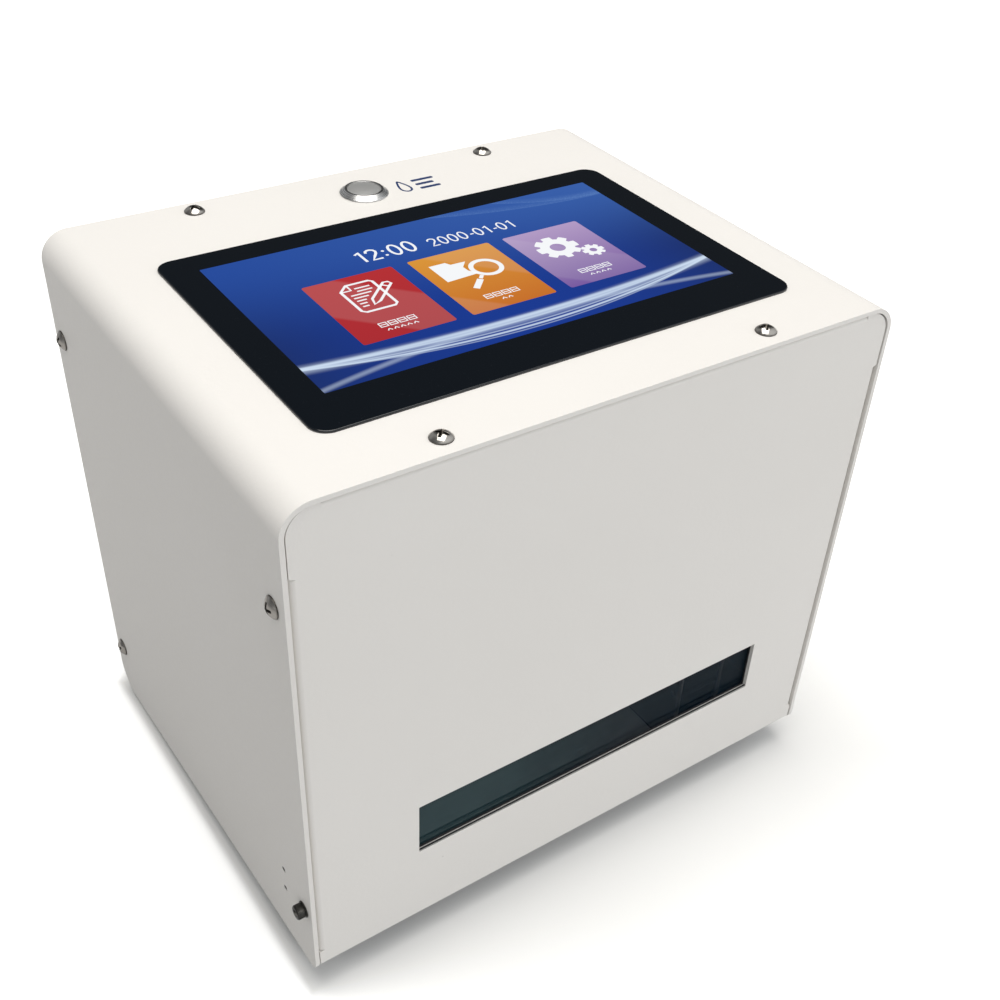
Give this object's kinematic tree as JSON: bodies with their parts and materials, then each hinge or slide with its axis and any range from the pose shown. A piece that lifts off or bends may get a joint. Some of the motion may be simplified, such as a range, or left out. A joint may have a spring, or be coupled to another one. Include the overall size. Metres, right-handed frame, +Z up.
{
  "type": "date code inkjet printer",
  "caption": "Desktop inkjet coder: folded steel housing, touch display and print button on top, viewing slot in front, belt-driven cartridge carriage inside.",
  "frame": {"origin": "centre of the object's bounding box, on the surface it stands on", "axes": "front faces -Y, +X to the right seen from the front, +Z up"},
  "size_m": [0.2316, 0.1816, 0.2123],
  "materials": {
    "powder_coat": "fine satin powder coat, warm white",
    "zinc_steel": "zinc plated",
    "rubber": "matt black",
    "smoked_acrylic": "dark tinted, glossy",
    "foam_tape": "black closed-cell foam",
    "display_glass": "black-bordered cover glass, gloss",
    "lcd_frame": "bright folded frame",
    "circuit_board": "green solder resist",
    "brass": "turned",
    "stainless": "stainless, bright",
    "button_steel": "satin stainless",
    "dark_steel": "blackened steel",
    "ground_steel": "ground and oiled",
    "aluminium": "clear anodised",
    "motor_steel": "black paint with bare steel ends",
    "belt_rubber": "black toothed belt",
    "black_plastic": "moulded black"
  },
  "bodies": {
    "root": {"cover": "powder_coat", "front_panel": "powder_coat", "rear_panel": "powder_coat", "base_plate": "zinc_steel", "rubber_feet": "rubber", "front_window": "smoked_acrylic", "window_gasket": "foam_tape", "display_glass": "display_glass", "lcd_module": "lcd_frame", "control_board": "circuit_board", "board_standoffs": "brass", "board_screws": "stainless", "button_housing": "button_steel", "button_nut": "button_steel", "button_switch": "black_plastic", "cover_top_screws": "stainless", "cover_side_screws": "stainless", "cap_screws": "dark_steel", "cap_screw_washers": "dark_steel", "clinch_nuts": "zinc_steel", "weld_studs": "zinc_steel", "stud_nuts": "zinc_steel", "beam": "aluminium", "beam_brackets": "zinc_steel", "bracket_screws": "stainless", "linear_rail": "ground_steel", "rail_screws": "stainless", "home_sensor": "black_plastic", "stepper_motor": "motor_steel", "motor_bracket": "zinc_steel", "drive_belt": "belt_rubber", "idler_bracket": "zinc_steel", "idler_axle": "dark_steel", "driver_board": "circuit_board", "driver_standoffs": "brass", "power_inlet": "black_plastic", "switch_housing": "black_plastic", "usb_port": "stainless"},
    "print_button": {"button_cap": "button_steel"},
    "carriage": {"rail_block": "ground_steel", "carriage_plate": "aluminium", "block_screws": "stainless", "belt_clamp": "aluminium", "cartridge_holder": "stainless", "pen_board": "circuit_board", "ink_cartridge": "black_plastic", "latch_pin": "stainless", "home_flag": "zinc_steel"},
    "latch": {"latch_lever": "black_plastic"},
    "drive": {"motor_shaft": "ground_steel", "drive_pulley": "aluminium"},
    "idler": {"idler_pulley": "aluminium"},
    "power_rocker": {"switch_rocker": "black_plastic"}
  },
  "joints": [
    {"name": "print_button_press", "type": "slide", "parent": "root", "child": "print_button", "axis": [0, 0, -1], "range_m": [0, 0.0015], "stiffness_N_per_m": 700, "springref_m": -0.001},
    {"name": "carriage_slide", "type": "slide", "parent": "root", "child": "carriage", "axis": [-1, 0, 0], "range_m": [0, 0.132]},
    {"name": "cartridge_latch", "type": "hinge", "parent": "carriage", "child": "latch", "pos_m": [0.066, -0.0756, 0.045], "axis": [-1, 0, 0], "range_deg": [0, 8], "stiffness_Nm_per_rad": 0.02, "springref_deg": -5.73},
    {"name": "drive_spin", "type": "hinge", "parent": "root", "child": "drive", "pos_m": [-0.087, 0, 0.102], "axis": [0, 1, 0], "range_deg": [0, 1190]},
    {"name": "idler_spin", "type": "hinge", "parent": "root", "child": "idler", "pos_m": [0.09, 0, 0.102], "axis": [0, 1, 0], "range_deg": [0, 1190]},
    {"name": "power_switch", "type": "hinge", "parent": "root", "child": "power_rocker", "pos_m": [-0.055, 0.0838, 0.047], "axis": [-1, 0, 0], "range_deg": [0, 16]}
  ],
  "couplings": [
    {"joint": "drive_spin", "follows": "carriage_slide", "rad_per_m": 156.99},
    {"joint": "idler_spin", "follows": "carriage_slide", "rad_per_m": 156.99}
  ]
}
